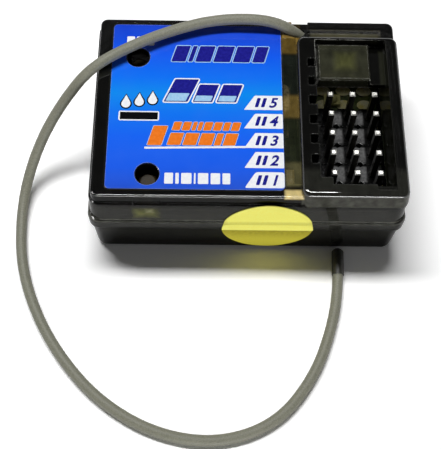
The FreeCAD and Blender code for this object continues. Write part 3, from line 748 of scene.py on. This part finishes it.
def add_pad(bm, x, y, level):
    """Oval ring pad round a place, in millimetres, on a level in metres."""
    rings = []
    for reach, rise in PAD_PROFILE:
        ring = []
        for step in range(PAD_SIDES):
            angle = 2 * math.pi * step / PAD_SIDES
            across = x + PAD_REACH[0] * reach * math.cos(angle)
            along = y + PAD_REACH[1] * reach * math.sin(angle)
            ring.append(bm.verts.new((across * MM, along * MM, level + rise * PAD_HEIGHT * MM)))
        rings.append(ring)
    for outer, inner in zip(rings, rings[1:]):
        for step in range(PAD_SIDES):
            after = (step + 1) % PAD_SIDES
            bm.faces.new((outer[step], outer[after], inner[after], inner[step]))


def make_spare_pads(materials):
    """Ring pads on the board where the two spare rows have no pins."""
    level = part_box("main_board")[1].z
    mesh = bpy.data.meshes.new("spare_pads")
    bm = bmesh.new()
    for column in range(PINS_IN_ROW):
        for row in SPARE_ROWS:
            add_pad(bm, FIRST_COLUMN + PAD_SHIFT + column * PIN_PITCH, row, level)
    fill_mesh(mesh, bm)
    add_piece("spare_pads", mesh, materials["gold_pad"])


def make_floor():
    """Pale paper floor that keeps the shadow. Cameras and gloss see it white."""
    mesh = bpy.data.meshes.new("floor")
    bm = bmesh.new()
    bmesh.ops.create_grid(bm, x_segments=1, y_segments=1, size=FLOOR_REACH)
    bm.to_mesh(mesh)
    bm.free()
    material, shader = principled(
        "floor_paper", Roughness=0.9, Specular_IOR_Level=0.1, Emission_Strength=1.0)
    tree = material.node_tree
    rays = tree.nodes.new("ShaderNodeLightPath").outputs
    gloss = maths(tree, "MAXIMUM", rays["Is Glossy Ray"], rays["Is Transmission Ray"])
    paper = mix_colour(tree, gloss, FLOOR_PAPER, FLOOR_GLOSS)
    paper = mix_colour(tree, rays["Is Camera Ray"], paper, FLOOR_SEEN)
    distance = vector_maths(tree, "LENGTH", place_in_millimetres(tree), output="Value")
    far = map_range(tree, distance, *FLOOR_FADE, smooth=True)
    far = maths(tree, "MULTIPLY", far, maths(tree, "MAXIMUM", gloss, rays["Is Camera Ray"]))
    tree.links.new(mix_colour(tree, far, paper, BLACK), shader.inputs["Base Color"])
    tree.links.new(mix_colour(tree, far, BLACK, WHITE), shader.inputs["Emission Color"])
    floor = bpy.data.objects.new("floor", mesh)
    bpy.context.scene.collection.objects.link(floor)
    floor.data.materials.append(material)
    floor.location.z = -FLOOR_DROP * MM


def make_world():
    """Low room light. Cameras and gloss see a white horizon under a dark ceiling."""
    world = bpy.data.worlds.new("studio")
    world.use_nodes = True
    tree = world.node_tree
    rays = tree.nodes.new("ShaderNodeLightPath").outputs
    direction = split(tree, tree.nodes.new("ShaderNodeTexCoord").outputs["Generated"])
    rise = map_range(tree, direction["Z"], *CEILING_FADE, smooth=True)
    backdrop = mix_colour(tree, rise, WHITE, CEILING)
    gloss = maths(tree, "MAXIMUM", rays["Is Glossy Ray"], rays["Is Transmission Ray"])
    seen = maths(tree, "MAXIMUM", rays["Is Camera Ray"], gloss)
    background = tree.nodes["Background"]
    tree.links.new(mix_colour(tree, seen, ROOM_LIGHT, backdrop), background.inputs["Color"])
    bpy.context.scene.world = world


def add_light(name, direction, distance, size, power):
    """Soft rectangular light aimed at the case."""
    light = bpy.data.lights.new(name, "AREA")
    light.shape = "RECTANGLE"
    light.size, light.size_y = size[0] * MM, size[1] * MM
    light.energy = power
    lamp = bpy.data.objects.new(name, light)
    bpy.context.scene.collection.objects.link(lamp)
    aim = Vector(direction).normalized()
    lamp.location = aim * distance * MM
    along = aim.cross(Vector((1.0, 0.0, 0.0))).normalized()
    across = along.cross(aim).normalized()
    lamp.rotation_euler = Matrix((across, along, aim)).transposed().to_euler()


def make_camera():
    """Camera fitted to the photo."""
    turn, rise, roll = [math.radians(angle) for angle in (CAMERA_TURN, CAMERA_RISE, CAMERA_ROLL)]
    back = Vector((math.sin(turn) * math.cos(rise), -math.cos(turn) * math.cos(rise), math.sin(rise)))
    level = Vector((math.cos(turn), math.sin(turn), 0.0))
    upright = back.cross(level)
    right = level * math.cos(roll) + upright * math.sin(roll)
    up = upright * math.cos(roll) - level * math.sin(roll)
    place = (back * CAMERA_DISTANCE + right * CAMERA_PAN[0] + up * CAMERA_PAN[1]) * MM
    data = bpy.data.cameras.new("camera")
    data.sensor_width = SENSOR
    data.lens = FOCAL_LENGTH * SENSOR / FRAME_LONG_SIDE
    data.clip_start = CAMERA_NEAR * MM
    camera = bpy.data.objects.new("camera", data)
    bpy.context.scene.collection.objects.link(camera)
    camera.matrix_world = Matrix.Translation(place) @ Matrix((right, up, back)).transposed().to_4x4()
    bpy.context.scene.camera = camera


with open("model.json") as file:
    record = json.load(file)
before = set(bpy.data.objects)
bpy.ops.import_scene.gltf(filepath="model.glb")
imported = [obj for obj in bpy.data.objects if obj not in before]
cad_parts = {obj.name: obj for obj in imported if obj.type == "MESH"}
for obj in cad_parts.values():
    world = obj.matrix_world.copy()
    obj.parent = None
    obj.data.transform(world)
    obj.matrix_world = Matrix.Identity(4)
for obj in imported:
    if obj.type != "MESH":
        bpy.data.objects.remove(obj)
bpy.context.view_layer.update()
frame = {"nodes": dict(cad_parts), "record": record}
bpy.context.scene.view_settings.view_transform = "Standard"
make_world()
make_floor()
add_light("key", *KEY_LIGHT)
add_light("fill", *FILL_LIGHT)
make_camera()
make_grain_group()
make_zone_group()
make_edge_group()
finishes = make_materials()
dress_nodes(frame, finishes)
make_antenna(finishes)
make_label_print(finishes)
make_spare_pads(finishes)
